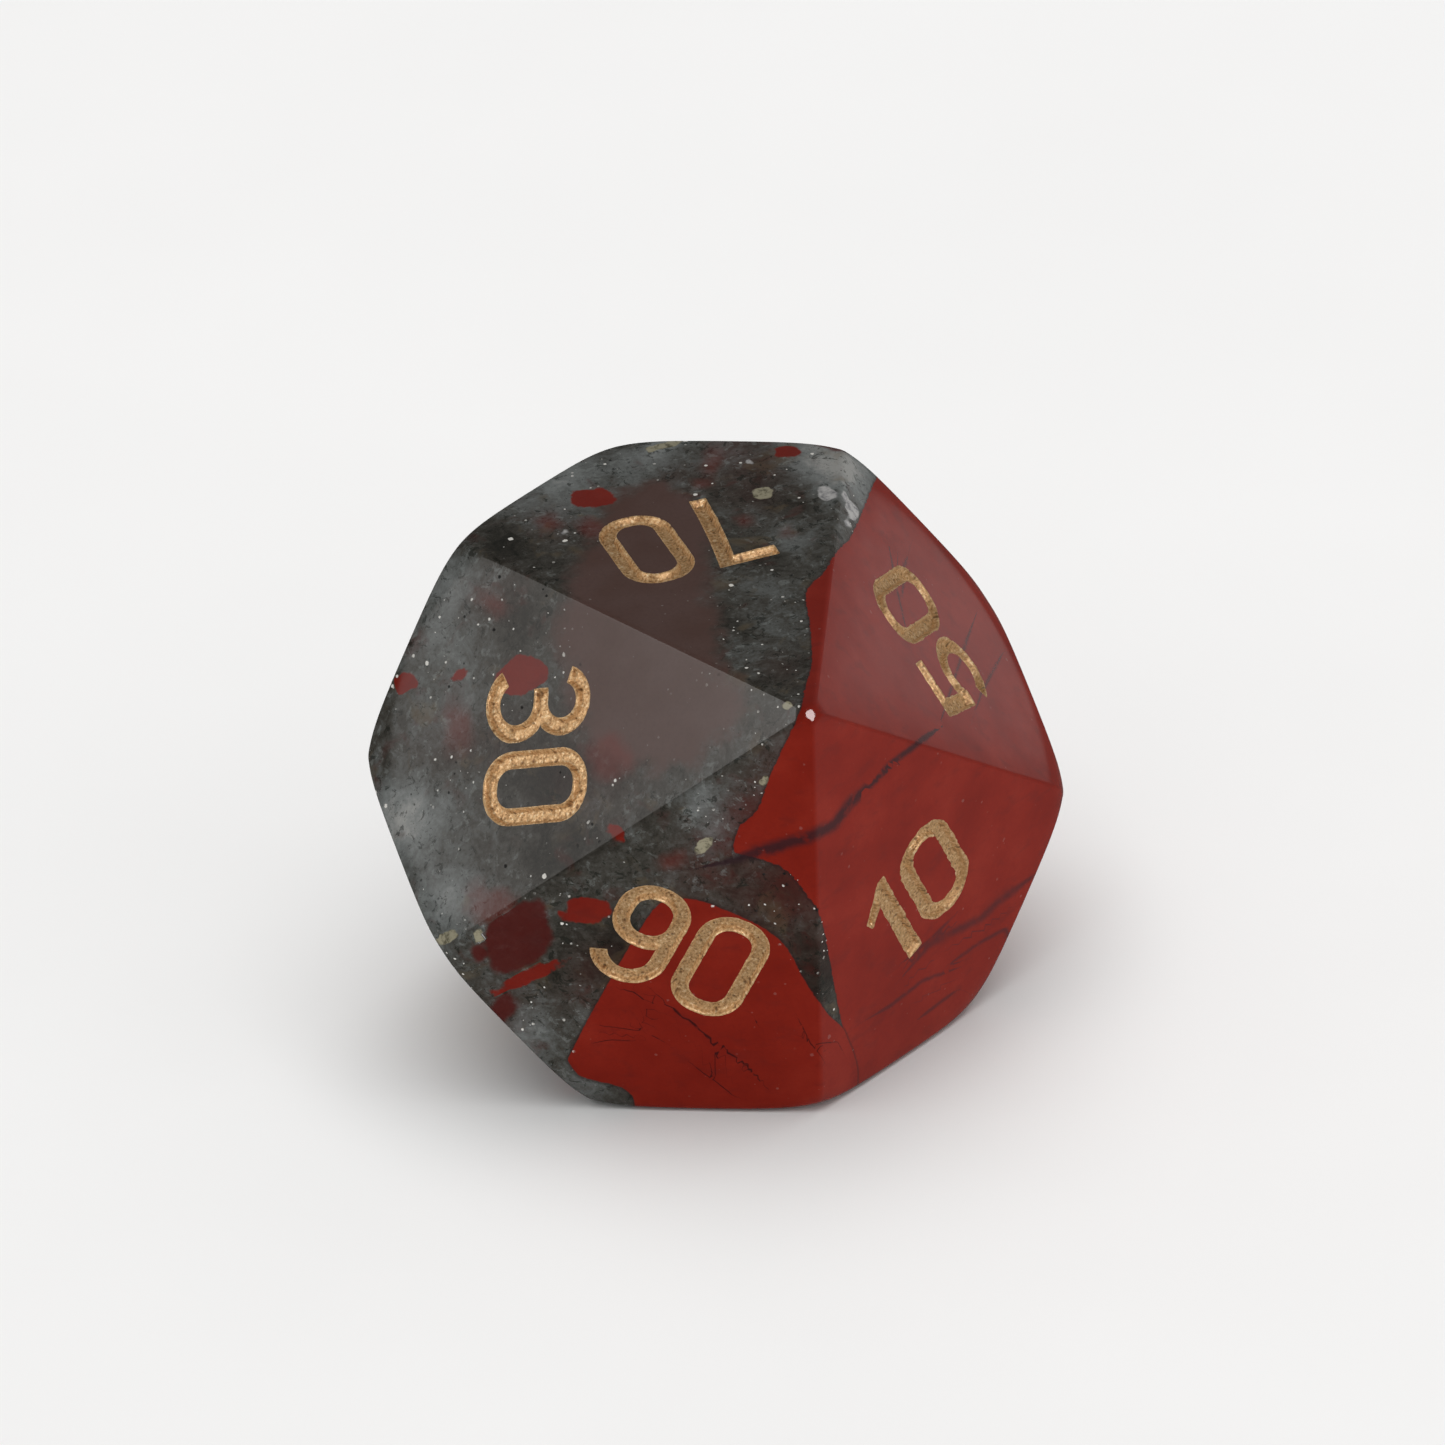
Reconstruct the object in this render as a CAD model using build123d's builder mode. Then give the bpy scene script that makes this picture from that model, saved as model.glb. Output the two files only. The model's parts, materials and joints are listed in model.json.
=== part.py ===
from build123d import *
import os
from math import cos, radians, sin, tan

# A stone percentile die: a pentagonal trapezohedron with ten kite faces, numbered in tens.
# It lies on its "20" face. +Z is the outward normal of the "70" face on top, and the point
# where the five odd tens meet leans towards -Y. The origin is on the resting face, straight
# below the middle of the die. All sizes are in millimetres and degrees.

# Driving dimensions of the stone
FACE_TO_FACE = 16.0      # between two opposite parallel faces
FACE_TILT = 51.27        # between a face's normal and the axis through the two points
CORNER_BLUNTING = 0.34   # how far polishing has worn back the ten corners round the middle
POINT_BLUNTING = 0.28    # the same at the two points
EDGE_RADIUS = 0.35

# Driving dimensions of the engraved numerals and the gold paint in them
NUMERAL_HEIGHT = 4.10
NUMERAL_WIDTH = 2.32
ONE_WIDTH = 1.48
NUMERAL_GAP = 0.36
STROKE = 0.52
GROOVE_DEPTH = 0.30
PAINT_THICKNESS = 0.13

# The odd tens round their point, from the top face turning towards +X. Each even ten is on the
# face opposite, where the two add up to ninety.
ODD_TENS = (70, 50, 10, 90, 30)
ALL_TENS = tuple(range(0, 100, 10))

# Each pair of numerals was set by hand, so the pairs sit a little differently on their faces:
# to the right of the kite's own axis, and up from the middle of the face.
USUAL_SETTING = (0.05, -1.05)
SETTINGS = {
    30: (0.22, -0.92),
    70: (0.00, -1.28),
    50: (-0.10, -1.38),
    10: (0.08, -1.00),
    90: (0.12, -0.75),
}

# Sizes that follow from the driving dimensions
STEP = 360 / len(ODD_TENS)
HALF_STEP = radians(STEP / 2)
INRADIUS = FACE_TO_FACE / 2
POINT_HEIGHT = INRADIUS / cos(radians(FACE_TILT))
ZIGZAG_HEIGHT = POINT_HEIGHT * (1 - cos(HALF_STEP)) / (1 + cos(HALF_STEP))
CORNER_RADIUS = (POINT_HEIGHT + ZIGZAG_HEIGHT) / tan(radians(FACE_TILT))

# Half sizes of a numeral, out to the middle of its stroke and out to its edge
MID_X = (NUMERAL_WIDTH - STROKE) / 2
MID_Y = (NUMERAL_HEIGHT - STROKE) / 2
TOP = NUMERAL_HEIGHT / 2

# The die's own frame: Z through the two points, X towards the far corner of the top face.
TILT_SIN = sin(radians(FACE_TILT))
TILT_COS = cos(radians(FACE_TILT))
DIE = Plane(origin=(0, 0, INRADIUS), x_dir=(0, TILT_COS, TILT_SIN), z_dir=(0, -TILT_SIN, TILT_COS))


def face_plane(tens):
    """Plane of a numbered face: Z outward, Y up the kite to its point, origin mid-face."""
    odd = tens in ODD_TENS
    turn = -STEP * ODD_TENS.index(tens if odd else 90 - tens)
    lean = FACE_TILT if odd else FACE_TILT + 180
    return Plane(DIE.location * Rot(0, 0, turn) * Rot(0, lean, 0) * Pos(0, 0, INRADIUS) * Rot(0, 0, 90))


def ring(width, height, radius):
    """A closed stroke round a rounded rectangle, added to the current sketch."""
    RectangleRounded(width, height, radius)
    RectangleRounded(width - 2 * STROKE, height - 2 * STROKE, radius - STROKE, mode=Mode.SUBTRACT)


def zero():
    with BuildSketch() as sketch:
        ring(NUMERAL_WIDTH, NUMERAL_HEIGHT, 1.08)
    return sketch.sketch


def one():
    """A plain stem with a slanting flag, which share one sharp top corner."""
    right = ONE_WIDTH / 2 - 0.18
    left = right - STROKE - 0.06
    tip = -ONE_WIDTH / 2
    with BuildSketch() as sketch:
        with BuildLine():
            Polyline(
                (right, -TOP),
                (right, TOP),
                (right - 0.26, TOP),
                (tip, TOP - 1.02),
                (tip + 0.12, TOP - 1.34),
                (left, TOP - 0.88),
                (left, -TOP),
                close=True,
            )
        make_face()
    return sketch.sketch


def two():
    with BuildSketch() as sketch:
        with BuildLine():
            bowl = CenterArc((0, MID_Y - MID_X), MID_X, 168, -205)
            Line(bowl @ 1, (-MID_X + 0.04, -MID_Y))
        trace(line_width=STROKE)
        with BuildLine():
            Line((-NUMERAL_WIDTH / 2, -MID_Y), (NUMERAL_WIDTH / 2, -MID_Y))
        trace(line_width=STROKE)
    return sketch.sketch


def three():
    upper = 0.84
    waist = MID_Y - 2 * upper
    lower = (waist + MID_Y) / 2
    with BuildSketch() as sketch:
        with BuildLine():
            CenterArc((0, MID_Y - upper), upper, 160, -250)
        trace(line_width=STROKE)
        with BuildLine():
            CenterArc((0, waist - lower), lower, 90, -238)
        trace(line_width=STROKE)
        with BuildLine():
            Line((-0.42, waist), (0.1, waist))
        trace(line_width=STROKE)
    return sketch.sketch


def four():
    stem = 0.42
    bar = -0.85
    with BuildSketch() as sketch:
        with BuildLine():
            Line((stem - 0.05, TOP - STROKE / 3), (-MID_X + 0.02, bar))
        trace(line_width=STROKE)
        with BuildLine():
            Line((-NUMERAL_WIDTH / 2, bar), (NUMERAL_WIDTH / 2, bar))
        trace(line_width=STROKE)
        with BuildLine():
            Line((stem, TOP), (stem, -TOP))
        trace(line_width=STROKE)
    return sketch.sketch


def five():
    bowl_radius = 1.00
    with BuildSketch() as sketch:
        with BuildLine():
            bowl = CenterArc((-0.06, bowl_radius - MID_Y), bowl_radius, 132, -280)
        trace(line_width=STROKE)
        with BuildLine():
            Polyline((-MID_X + 0.03, -0.32), (-MID_X + 0.15, MID_Y), (MID_X + 0.05, MID_Y))
        trace(line_width=STROKE)
    return sketch.sketch


def six():
    with BuildSketch() as sketch:
        add(nine(), rotation=180)
    return sketch.sketch


def seven():
    with BuildSketch() as sketch:
        with BuildLine():
            bar = Line((-MID_X - 0.1, MID_Y), (MID_X - 0.25, MID_Y))
            ThreePointArc(bar @ 1, (0.41, 0.10), (0.22, -TOP))
        trace(line_width=STROKE)
    return sketch.sketch


def eight():
    upper = 2.16
    lower = NUMERAL_HEIGHT + STROKE - upper
    with BuildSketch() as sketch:
        with Locations((0, TOP - upper / 2)):
            ring(NUMERAL_WIDTH - 0.24, upper, 1.03)
        with Locations((0, lower / 2 - TOP)):
            ring(NUMERAL_WIDTH, lower, 1.15)
    return sketch.sketch


def nine():
    loop = 2.55
    tail_radius = 0.98
    with BuildSketch() as sketch:
        with Locations((0, TOP - loop / 2)):
            ring(NUMERAL_WIDTH, loop, 1.12)
        with BuildLine():
            side = Line((MID_X, MID_Y - loop / 2), (MID_X, tail_radius - MID_Y))
            CenterArc((MID_X - tail_radius, tail_radius - MID_Y), tail_radius, 0, -158)
        trace(line_width=STROKE)
    return sketch.sketch


NUMERALS = (zero(), one(), two(), three(), four(), five(), six(), seven(), eight(), nine())


def numeral_places(tens):
    """The two numerals of a face, each with its place name, value and middle."""
    across, up = SETTINGS.get(tens, USUAL_SETTING)
    first = tens // 10
    first_width = ONE_WIDTH if first == 1 else NUMERAL_WIDTH
    start = across - (first_width + NUMERAL_GAP + NUMERAL_WIDTH) / 2
    first_middle = start + first_width / 2
    second_middle = start + first_width + NUMERAL_GAP + NUMERAL_WIDTH / 2
    return (("tens", first, (first_middle, up)), ("units", 0, (second_middle, up)))


def save(part, name):
    part.label = name
    export_step(part, f"parts/{name}.step")


os.makedirs("parts", exist_ok=True)

# The stone: ten flat faces cut on a ball, the twenty edges rounded over, and then the corners
# worn blunt, which leaves only what lies inside an ellipsoid. Last, the numerals are engraved.
with BuildPart() as stone_body:
    with Locations(DIE.origin):
        Sphere(FACE_TO_FACE)
    for face in ALL_TENS:
        split(bisect_by=face_plane(face), keep=Keep.BOTTOM)
    fillet(stone_body.edges(), radius=EDGE_RADIUS)
    with BuildSketch(Plane(DIE.location * Rot(0, 0, STEP / 4) * Rot(90, 0, 0))):
        with BuildLine():
            wear = EllipticalCenterArc(
                (0, 0),
                CORNER_RADIUS - CORNER_BLUNTING,
                POINT_HEIGHT - POINT_BLUNTING,
                start_angle=-90,
                arc_size=180,
            )
            Line(wear @ 1, wear @ 0)
        make_face()
    revolve(axis=Axis(DIE.origin, DIE.z_dir), mode=Mode.INTERSECT)
    for face in ALL_TENS:
        with BuildSketch(face_plane(face)):
            for place, value, middle in numeral_places(face):
                with Locations(middle):
                    add(NUMERALS[value])
        extrude(amount=-GROOVE_DEPTH, mode=Mode.SUBTRACT)
save(stone_body.part, "stone_body")

# The gold paint: one thin fill on the floor of each groove.
for face in ALL_TENS:
    for place, value, middle in numeral_places(face):
        with BuildPart() as gold_fill:
            with BuildSketch(face_plane(face).offset(-GROOVE_DEPTH)):
                with Locations(middle):
                    add(NUMERALS[value])
            extrude(amount=PAINT_THICKNESS)
        save(gold_fill.part, f"gold_{face:02d}_{place}")
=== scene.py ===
import json
import math

import bmesh
import bpy
import numpy as np
from mathutils import Matrix, Vector, geometry


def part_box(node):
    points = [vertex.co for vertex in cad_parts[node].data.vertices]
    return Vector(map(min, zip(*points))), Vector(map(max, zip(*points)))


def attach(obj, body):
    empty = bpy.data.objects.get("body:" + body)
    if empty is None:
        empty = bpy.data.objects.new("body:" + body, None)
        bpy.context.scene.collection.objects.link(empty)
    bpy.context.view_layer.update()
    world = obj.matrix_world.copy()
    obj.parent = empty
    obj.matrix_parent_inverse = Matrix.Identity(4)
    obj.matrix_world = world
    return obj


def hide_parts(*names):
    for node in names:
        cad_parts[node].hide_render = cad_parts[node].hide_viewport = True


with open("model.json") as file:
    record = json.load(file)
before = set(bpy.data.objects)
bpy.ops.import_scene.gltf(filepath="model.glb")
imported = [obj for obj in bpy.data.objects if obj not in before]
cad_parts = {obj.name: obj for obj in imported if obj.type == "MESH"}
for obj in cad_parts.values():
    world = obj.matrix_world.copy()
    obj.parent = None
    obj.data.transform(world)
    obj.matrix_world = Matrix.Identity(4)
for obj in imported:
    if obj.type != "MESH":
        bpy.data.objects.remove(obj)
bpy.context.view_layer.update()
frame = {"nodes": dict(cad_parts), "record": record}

# A polished stone percentile die with gold numerals. Shapes are worked out in millimetres and
# turned into metres when a mesh is made. The ten face planes come from the record's mounts and
# the numerals' outlines from the CAD paint fills. Only the stone's pattern is listed.
MM = 0.001
ODD_TENS = (70, 50, 10, 90, 30)

# Stone, in millimetres
POINT_EDGE_RADIUS = 0.17     # edges that meet at the two points
ZIGZAG_EDGE_RADIUS = 0.26    # edges of the zigzag round the middle
RADIUS_CHANGE = (1.2, 4.0)   # heights from the middle between which one radius turns into the other
ROUNDED_BAND = 1.2           # how near a vertex is to a second face when it is moved at all
CORNER_BLUNTING = 0.28
POINT_BLUNTING = 0.34
CORNER_SOFTNESS = 0.014      # of the die's half size
POINT_SOFTNESS = 0.004       # the same at the two points, which polishing has left flatter
POINT_SHARE = 0.8            # height, as a share of a point's, where the point's softness begins
GRID_CELLS = 88
GRID_CROWDING = 0.80         # how far the grid crowds towards the edges, from 0 to 1
BLOCK_MARGIN = 0.35          # round the numerals, in the block of grid that is made again for them
RIM_CLEARANCE = 0.05         # between the numerals' rims and the nearest grid point
SHARP_STONE = 32.0           # degrees between polygons, from where shading shows an edge

# Engraving and paint, in millimetres
GROOVE_DEPTH = 0.30
RIM_BEVEL = 0.022
PAINT_DEPTH = 0.21           # from the face down to the paint's floor
PAINT_GAP = 0.004            # between the stone's wall and the paint's side
PAINT_BOTTOM = 0.285
PAINT_UNDERSIDE = 0.008      # of the lip, where it lies in the stone's rim
LIP_EDGE = -0.004            # height of the lip's outer edge, tucked into the stone
LIP_RIDGE = 0.006            # height of the lip's middle
WALL_WIDTH = 0.105           # of the paint's rounded slope from the face down to its floor
WALL_ROWS = (0.018, 0.036, 0.054, 0.074, 0.098)
FLOOR_START = 0.125          # distance from the outline where the floor's lattice begins
PAINT_STEP = 0.045
OUTLINE_STEP = 0.09          # between the points of a numeral's outline in the stone
OVERSPILL = {10: 0.030, 50: 0.024}
USUAL_OVERSPILL = 0.008      # how far paint has run over the rim, on faces not named above
SHARP_PAINT = 60.0

# Brightness of the surroundings
WORLD_LIGHT = 0.52
WORLD_SEEN = 0.92            # by the camera


# -------- the die's planes and faces

class Face:
    """One kite face: its plane, and 2-D axes in it with v up the kite to the face's own point."""

    def __init__(self, tens, mount, centre, axis):
        self.tens = tens
        self.normal = np.array(mount["axis"], float)
        self.origin = np.array(mount["pos_m"], float) / MM
        self.distance = float(self.normal @ (self.origin - centre))
        self.side = 1.0 if self.normal @ axis > 0 else -1.0
        up = self.side * axis - self.normal * (self.normal @ axis * self.side)
        self.up = up / np.linalg.norm(up)
        self.right = np.cross(self.up, self.normal)

    def flat(self, points):
        offset = np.asarray(points) - self.origin
        return np.stack([offset @ self.right, offset @ self.up], -1)

    def solid(self, points, height=0.0):
        points = np.asarray(points, float)
        height = np.broadcast_to(height, len(points))[:, None]
        return self.origin + points[:, :1] * self.right + points[:, 1:2] * self.up + height * self.normal


def read_faces():
    mounts = {int(m["name"][-2:]): m for m in frame["record"]["mounts"]}
    places = np.array([m["pos_m"] for m in mounts.values()])
    centre = places.mean(0) / MM
    axis = sum(np.array(mounts[tens]["axis"]) for tens in ODD_TENS)
    axis /= np.linalg.norm(axis)
    return {tens: Face(tens, mount, centre, axis) for tens, mount in mounts.items()}, centre, axis


FACES, CENTRE, AXIS = read_faces()
TOP = FACES[70]
INRADIUS = TOP.distance
POINT_HEIGHT = INRADIUS / (TOP.normal @ AXIS)
ACROSS = np.cross(TOP.normal, TOP.up)            # row X, at right angles to the axis
ALONG = np.cross(AXIS, ACROSS)                   # towards the top face's far corner


def ring_of_faces():
    """The ten faces in order round the axis; upper and lower faces take turns."""
    def turn(face):
        return math.atan2(face.normal @ ALONG, face.normal @ ACROSS)
    return sorted(FACES.values(), key=turn)


def meeting_point(faces):
    normals = np.array([f.normal for f in faces])
    return CENTRE + np.linalg.solve(normals, np.array([f.distance for f in faces]))


# -------- mesh helpers

def new_object(name, points, polygons):
    mesh = bpy.data.meshes.new(name)
    mesh.from_pydata((np.asarray(points) * MM).tolist(), [], [list(p) for p in polygons])
    mesh.validate()
    made = bpy.data.objects.new(name, mesh)
    bpy.context.scene.collection.objects.link(made)
    return made


def vertex_places(mesh):
    """All vertex places in millimetres."""
    co = np.zeros(len(mesh.vertices) * 3)
    mesh.vertices.foreach_get("co", co)
    return co.reshape(-1, 3) / MM


def set_attribute(mesh, name, values):
    values = np.asarray(values, np.float32)
    kind, key = ("FLOAT", "value") if values.ndim == 1 else ("FLOAT_VECTOR", "vector")
    attribute = mesh.attributes.new(name, kind, "POINT")
    attribute.data.foreach_set(key, values.ravel())


# -------- numeral outlines

def cad_outlines(node, face):
    """Closed loops round the paint fill's outer surface, in the face's plane, stroke on the left."""
    mesh = frame["nodes"][node].data
    mesh.calc_loop_triangles()
    places = vertex_places(mesh)
    keys = {}
    ids = [keys.setdefault(tuple(np.round(p, 4)), len(keys)) for p in places]
    flat = face.flat(np.array(list(keys)))
    edges = {}
    for tri in mesh.loop_triangles:
        if np.array(tri.normal) @ face.normal > 0.99:
            a, b, c = (ids[v] for v in tri.vertices)
            edges.update({(a, b): True, (b, c): True, (c, a): True})
    following = {a: b for a, b in edges if (b, a) not in edges}
    loops = []
    while following:
        start, at = next(iter(following.items()))
        loop = [start]
        del following[start]
        while at != start:
            loop.append(at)
            at = following.pop(at)
        loops.append(flat[loop])
    return loops


def smooth_loop(points, step, corner_degrees=25.0):
    """The loop again with true curves between its points, and sharp corners kept."""
    ahead = np.roll(points, -1, 0) - points
    length = np.linalg.norm(ahead, axis=1)
    ahead /= length[:, None]
    behind = np.roll(ahead, 1, 0)
    weight = length[:, None] ** 2
    mixed = ahead * weight + behind * np.roll(weight, 1, 0)
    mixed /= np.linalg.norm(mixed, axis=1)[:, None]
    corner = (ahead * behind).sum(1) < math.cos(math.radians(corner_degrees))
    leaving = np.where(corner[:, None], ahead, mixed)
    arriving = np.where(corner[:, None], behind, mixed)
    made = []
    for i in range(len(points)):
        j = (i + 1) % len(points)
        count = max(1, round(length[i] / step))
        t = (np.arange(count) / count)[:, None]
        made.append(
            (2 * t**3 - 3 * t**2 + 1) * points[i]
            + (t**3 - 2 * t**2 + t) * leaving[i] * length[i]
            + (3 * t**2 - 2 * t**3) * points[j]
            + (t**3 - t**2) * arriving[j] * length[i]
        )
    return np.concatenate(made)


def outward(loop):
    """Unit directions away from the stroke, at each point of a loop."""
    tangent = np.roll(loop, -1, 0) - np.roll(loop, 1, 0)
    tangent /= np.linalg.norm(tangent, axis=1)[:, None]
    return np.stack([tangent[:, 1], -tangent[:, 0]], -1)


def depth_inside(points, loops):
    """Distance from each point to the nearest outline."""
    best = np.full(len(points), 1e9)
    for loop in loops:
        start, end = loop, np.roll(loop, -1, 0)
        run = end - start
        share = ((points[:, None] - start) * run).sum(2) / (run**2).sum(1)
        near = start + np.clip(share, 0, 1)[..., None] * run
        best = np.minimum(best, np.linalg.norm(points[:, None] - near, axis=2).min(1))
    return best


def spread(loops, amounts):
    """The loops moved away from the stroke, by less in a notch too narrow for it."""
    amounts = [np.broadcast_to(amount, len(loop)).copy() for loop, amount in zip(loops, amounts)]
    for loop, amount in zip(loops, amounts):
        away = outward(loop)
        for _ in range(12):
            tight = depth_inside(loop + amount[:, None] * away, loops) < 0.97 * amount
            amount[tight] *= 0.8
        amount[:] = np.minimum(amount, (np.roll(amount, 1) + np.roll(amount, -1)) / 2 + 0.006)
    return [loop + 0.96 * amount[:, None] * outward(loop) for loop, amount in zip(loops, amounts)]


def is_inside(points, loops):
    """Even-odd test against all loops together."""
    inside = np.zeros(len(points), bool)
    for loop in loops:
        end = np.roll(loop, -1, 0)
        low = loop[:, 1] > points[:, None, 1]
        high = end[:, 1] > points[:, None, 1]
        rise = np.where(end[:, 1] == loop[:, 1], 1e-12, end[:, 1] - loop[:, 1])
        share = (points[:, None, 1] - loop[:, 1]) / rise
        crossing = loop[:, 0] + share * (end[:, 0] - loop[:, 0])
        inside ^= (((low != high) & (points[:, None, 0] < crossing)).sum(1) % 2).astype(bool)
    return inside


def triangulate(loops, extra=()):
    """Triangles over the area between the loops, or None if the loops cross each other."""
    points = np.concatenate([*loops, *extra])
    edges = []
    first = 0
    for loop in loops:
        n = len(loop)
        edges += [(first + i, first + (i + 1) % n) for i in range(n)]
        first += n
    made = geometry.delaunay_2d_cdt([Vector(p) for p in points], edges, [], 0, 1e-7)
    if len(made[0]) != len(points):
        return None
    order = [original[0] for original in made[3]]
    triangles = np.array([[order[v] for v in tri] for tri in made[2]])
    a, b, c = (points[triangles[:, i]] for i in range(3))
    ab, ac = b - a, c - a
    twice_area = np.abs(ab[:, 0] * ac[:, 1] - ab[:, 1] * ac[:, 0])
    return triangles[(twice_area > 1e-7) & is_inside((a + b + c) / 3, loops)]


def bands(loops, *levels):
    """Quads round closed loops of vertices, from each level's first vertex number to the next one's."""
    quads = []
    start = 0
    for loop in loops:
        for i in range(len(loop)):
            a, b = start + i, start + (i + 1) % len(loop)
            quads += [(top + a, top + b, low + b, low + a) for top, low in zip(levels, levels[1:])]
        start += len(loop)
    return quads


# -------- the stone

def face_grid(corners):
    """A square grid of points over a kite, crowded towards its edges. The first corner is its tip."""
    share = np.linspace(0, 1, GRID_CELLS + 1)
    share = share - GRID_CROWDING * np.sin(2 * math.pi * share) / (2 * math.pi)
    u, v = (part[..., None] for part in np.meshgrid(share, share, indexing="ij"))
    tip, left, far, right = corners
    return (1 - u) * (1 - v) * tip + u * (1 - v) * left + u * v * far + (1 - u) * v * right


def engraved_block(face, grid, numerals):
    """The part of a face's grid round its numerals, made again with the grooves in it."""
    flat = face.flat(grid)
    strokes = [loop for loops in numerals for loop in spread(loops, [RIM_BEVEL] * len(loops))]
    every = np.concatenate(strokes)
    low_side, high_side = every.min(0) - BLOCK_MARGIN, every.max(0) + BLOCK_MARGIN
    within = np.argwhere(((flat > low_side) & (flat < high_side)).all(2))
    (i0, j0), (i1, j1) = within.min(0), within.max(0)

    def border(of):
        return np.concatenate([of[i0:i1, j0], of[i1, j0:j1], of[i1:i0:-1, j1], of[i0, j1:j0:-1]])

    between = flat[i0 + 1:i1, j0 + 1:j1].reshape(-1, 2)
    clear = ~is_inside(between, strokes) & (depth_inside(between, strokes) > RIM_CLEARANCE)
    inner = between[clear]
    polygons = triangulate([border(flat), *strokes], [inner]).tolist()
    outlines = [loop for loops in numerals for loop in loops]
    rims = np.concatenate(outlines)
    rim_count = len(rims)
    rim = len(border(flat))
    low = rim + rim_count + len(inner)
    floor = low + rim_count
    points = [
        border(grid), face.solid(every), grid[i0 + 1:i1, j0 + 1:j1].reshape(-1, 3)[clear],
        face.solid(rims, -RIM_BEVEL), face.solid(rims, -GROOVE_DEPTH),
    ]
    polygons += bands(outlines, rim, low, floor)
    polygons += (triangulate(outlines) + floor).tolist()
    return np.concatenate(points), polygons, (i0, i1, j0, j1)


def engraved_kites():
    """The sharp polyhedron as ten kite grids with the numerals' grooves in them, one closed mesh."""
    ring = ring_of_faces()
    corners = [meeting_point([ring[j - 1], ring[j], ring[(j + 1) % 10]]) for j in range(10)]
    points, polygons = [], []
    first = 0
    for k, face in enumerate(ring):
        tip = CENTRE + face.side * POINT_HEIGHT * AXIS
        left, far, right = corners[k - 1], corners[k], corners[(k + 1) % 10]
        if np.cross(left - tip, right - tip) @ face.normal < 0:
            left, right = right, left
        grid = face_grid((tip, left, far, right))
        side = len(grid)
        ids = np.arange(side * side).reshape(side, side)
        numerals = [
            [smooth_loop(loop, OUTLINE_STEP) for loop in cad_outlines(node, on)]
            for node, on in numeral_nodes() if on is face
        ]
        block_points, block_polygons, (i0, i1, j0, j1) = engraved_block(face, grid, numerals)
        quads = np.stack([ids[:-1, :-1], ids[1:, :-1], ids[1:, 1:], ids[:-1, 1:]], -1)
        plain = np.ones(quads.shape[:2], bool)
        plain[i0:i1, j0:j1] = False
        polygons += (quads[plain] + first).tolist()
        polygons += [[v + first + side * side for v in polygon] for polygon in block_polygons]
        points += [grid.reshape(-1, 3), block_points]
        first += side * side + len(block_points)
    points = np.concatenate(points)
    _, kept, same = np.unique(np.round(points, 5), axis=0, return_index=True, return_inverse=True)
    same = same.ravel()
    return points[kept], [[same[v] for v in polygon] for polygon in polygons]


def rolled_edges(points):
    """Rounds the polyhedron's edges as a ball rolling inside would, smaller near the points."""
    height = np.abs((points - CENTRE) @ AXIS)
    share = np.clip((height - RADIUS_CHANGE[0]) / (RADIUS_CHANGE[1] - RADIUS_CHANGE[0]), 0, 1)
    share = share * share * (3 - 2 * share)
    radius = ZIGZAG_EDGE_RADIUS + (POINT_EDGE_RADIUS - ZIGZAG_EDGE_RADIUS) * share
    normals = np.array([f.normal for f in FACES.values()])
    inner = INRADIUS - radius
    depth = np.sort((points - CENTRE) @ normals.T - INRADIUS, axis=1)
    near = depth[:, -2] > -ROUNDED_BAND
    at = (points - CENTRE)[near]
    limit = inner[near]
    left = np.zeros((len(normals), *at.shape))
    nearest = at.copy()
    for _ in range(60):
        for i, normal in enumerate(normals):
            trial = nearest + left[i]
            over = np.maximum(trial @ normal - limit, 0)[:, None] * normal
            nearest = trial - over
            left[i] = over
    away = at - nearest
    away /= np.linalg.norm(away, axis=1)[:, None]
    rounded = points.copy()
    rounded[near] = CENTRE + nearest + radius[near][:, None] * away
    return rounded


def blunted_corners(points):
    """Wears the corners back towards an ellipsoid about the middle."""
    offset = points - CENTRE
    height = offset @ AXIS
    flat = np.linalg.norm(offset - height[:, None] * AXIS, axis=1)
    corner_offset = meeting_point(ring_of_faces()[:3]) - CENTRE
    corner_height = corner_offset @ AXIS
    corner = math.sqrt(corner_offset @ corner_offset - corner_height**2)
    size = np.hypot(flat / (corner - CORNER_BLUNTING), height / (POINT_HEIGHT - POINT_BLUNTING))
    softness = np.where(np.abs(height) > POINT_SHARE * POINT_HEIGHT, POINT_SOFTNESS, CORNER_SOFTNESS)
    over = softness * np.logaddexp(0, (size - 1) / softness)
    over[size < 1 - 8 * softness] = 0
    return CENTRE + offset * ((size - over) / size)[:, None]


def numeral_nodes():
    """Each CAD paint fill's name with the face it is on."""
    for node in sorted(frame["nodes"]):
        if node.startswith("gold_"):
            yield node, FACES[int(node.split("_")[1])]


def make_stone():
    points, polygons = engraved_kites()
    stone = new_object("engraved_stone", blunted_corners(rolled_edges(points)), polygons)
    loose = bmesh.new()
    loose.from_mesh(stone.data)
    bmesh.ops.delete(loose, geom=[v for v in loose.verts if not v.link_faces], context="VERTS")
    loose.to_mesh(stone.data)
    loose.free()
    stone.data.shade_smooth()
    stone.data.set_sharp_from_angle(angle=math.radians(SHARP_STONE))
    return stone


# -------- the gold paint

def paint_profile(depth, floor):
    """Height of the paint over the face at each depth inside the groove's outline."""
    share = np.clip((depth - PAINT_GAP) / WALL_WIDTH, 0, 1)
    return -floor * share * share * (3 - 2 * share)


def ragged(count, amount, seed):
    """Smooth random numbers round a closed loop, from 0 to about 2 times the amount."""
    rng = np.random.default_rng(seed)
    turns = np.arange(count) / count * 2 * math.pi
    wave = np.zeros(count)
    for size, strength in ((9, 0.5), (23, 0.7), (61, 0.6)):
        evening = math.sqrt(count / size / 2)
        for k in range(max(2, count // (2 * size)), max(3, count // size)):
            wave += strength * rng.normal() * np.cos(k * turns + rng.uniform(0, 6.28)) / evening
    return amount * np.abs(1 + wave)


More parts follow.
